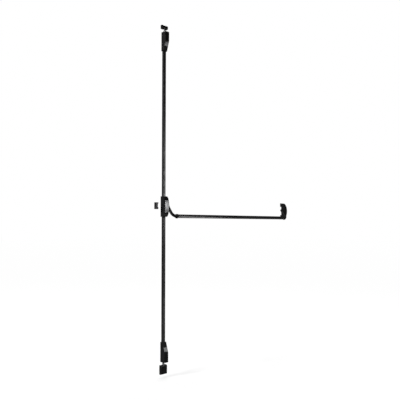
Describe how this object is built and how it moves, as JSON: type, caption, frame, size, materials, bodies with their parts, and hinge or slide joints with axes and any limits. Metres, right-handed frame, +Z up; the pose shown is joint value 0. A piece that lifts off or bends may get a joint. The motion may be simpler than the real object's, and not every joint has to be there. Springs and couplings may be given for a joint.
{
  "type": "panic bar",
  "caption": "Panic bar for a door: tubular push bar on elbow arms, centre case with side latch, covered rods driving a top and a bottom bolt, and the strikes.",
  "frame": {"origin": "middle of the centre case's four fixing holes, on the door's face", "axes": "+X along the push bar from the lock side to the hinge side, +Y into the door, +Z up"},
  "size_m": [1.2751, 0.0824, 2.145],
  "materials": {
    "cover_black": "satin moulded black",
    "insert_silver": "satin silver",
    "rod_cover_black": "satin black anodised",
    "bar_black": "smooth black paint, slightly glossy",
    "arm_black": "smooth black paint",
    "strike_black": "satin black paint",
    "plate_steel": "zinc plated sheet",
    "bright_steel": "turned, zinc plated",
    "screw_black": "blackened",
    "screw_steel": "zinc plated",
    "spring_steel": "drawn wire",
    "bush_brass": "turned",
    "guide_nylon": "moulded nylon, dark grey"
  },
  "bodies": {
    "root": {"centre_cover": "cover_black", "top_cover": "cover_black", "bottom_cover": "cover_black", "passive_cover": "cover_black", "centre_insert": "insert_silver", "top_insert": "insert_silver", "bottom_insert": "insert_silver", "upper_rod_cover": "rod_cover_black", "lower_rod_cover": "rod_cover_black", "top_strike": "strike_black", "bottom_strike": "strike_black", "side_strike": "strike_black", "centre_chassis": "plate_steel", "passive_chassis": "plate_steel", "top_base_plate": "plate_steel", "bottom_base_plate": "plate_steel", "slider_guide": "plate_steel", "latch_housing": "plate_steel", "side_strike_wear_plate": "plate_steel", "pinion_stud": "bright_steel", "cover_screws": "screw_black", "guide_screws": "screw_steel", "centre_return_spring": "spring_steel", "passive_return_spring": "spring_steel", "latch_spring": "spring_steel", "top_bolt_spring": "spring_steel", "bottom_bolt_spring": "spring_steel", "centre_bushes": "bush_brass", "passive_bushes": "bush_brass", "upper_rod_guides": "guide_nylon", "lower_rod_guides": "guide_nylon", "slider_wear_strips": "guide_nylon", "top_bolt_guide": "guide_nylon", "bottom_bolt_guide": "guide_nylon", "top_spring_seat": "guide_nylon", "bottom_spring_seat": "guide_nylon"},
    "bar": {"active_arm": "arm_black", "passive_arm": "arm_black", "push_bar": "bar_black", "active_shaft": "bright_steel", "passive_shaft": "bright_steel", "drive_lever": "plate_steel", "lever_pin": "bright_steel", "arm_grub_screws": "screw_black", "bar_grub_screws": "screw_black"},
    "lower_drive": {"lower_slider": "plate_steel", "lower_coupling": "plate_steel", "lower_coupling_pin": "bright_steel", "lower_rod": "bright_steel", "bottom_bolt": "bright_steel"},
    "upper_drive": {"upper_slider": "plate_steel", "upper_coupling": "plate_steel", "upper_coupling_pin": "bright_steel", "upper_rod": "bright_steel", "top_bolt": "bright_steel"},
    "pinion": {"reversing_pinion": "bright_steel"},
    "latch": {"latch_bolt": "bright_steel", "latch_pin": "bright_steel"}
  },
  "joints": [
    {"name": "bar_swing", "type": "hinge", "parent": "root", "child": "bar", "pos_m": [0, -0.032, 0], "axis": [1, 0, 0], "range_deg": [0, 30], "stiffness_Nm_per_rad": 2.4, "springref_deg": -34.38},
    {"name": "lower_rod_slide", "type": "slide", "parent": "root", "child": "lower_drive", "axis": [0, 0, 1], "range_m": [0, 0.01113], "stiffness_N_per_m": 400, "springref_m": -0.03, "deforming": ["bottom_bolt_spring"]},
    {"name": "upper_rod_slide", "type": "slide", "parent": "root", "child": "upper_drive", "axis": [0, 0, -1], "range_m": [0, 0.01113], "stiffness_N_per_m": 400, "springref_m": -0.03, "deforming": ["top_bolt_spring"]},
    {"name": "pinion_spin", "type": "hinge", "parent": "root", "child": "pinion", "pos_m": [0, -0.0101, 0.0315], "axis": [0, 1, 0], "range_deg": [0, 106.3]},
    {"name": "latch_slide", "type": "slide", "parent": "root", "child": "latch", "axis": [1, 0, 0], "range_m": [0, 0.0078], "stiffness_N_per_m": 300, "springref_m": -0.02, "deforming": ["latch_spring"]}
  ],
  "couplings": [
    {"joint": "lower_rod_slide", "follows": "bar_swing", "m_per_rad": 0.021255},
    {"joint": "upper_rod_slide", "follows": "bar_swing", "m_per_rad": 0.021255},
    {"joint": "pinion_spin", "follows": "bar_swing", "ratio": 3.5425},
    {"joint": "latch_slide", "follows": "bar_swing", "m_per_rad": 0.014897}
  ]
}
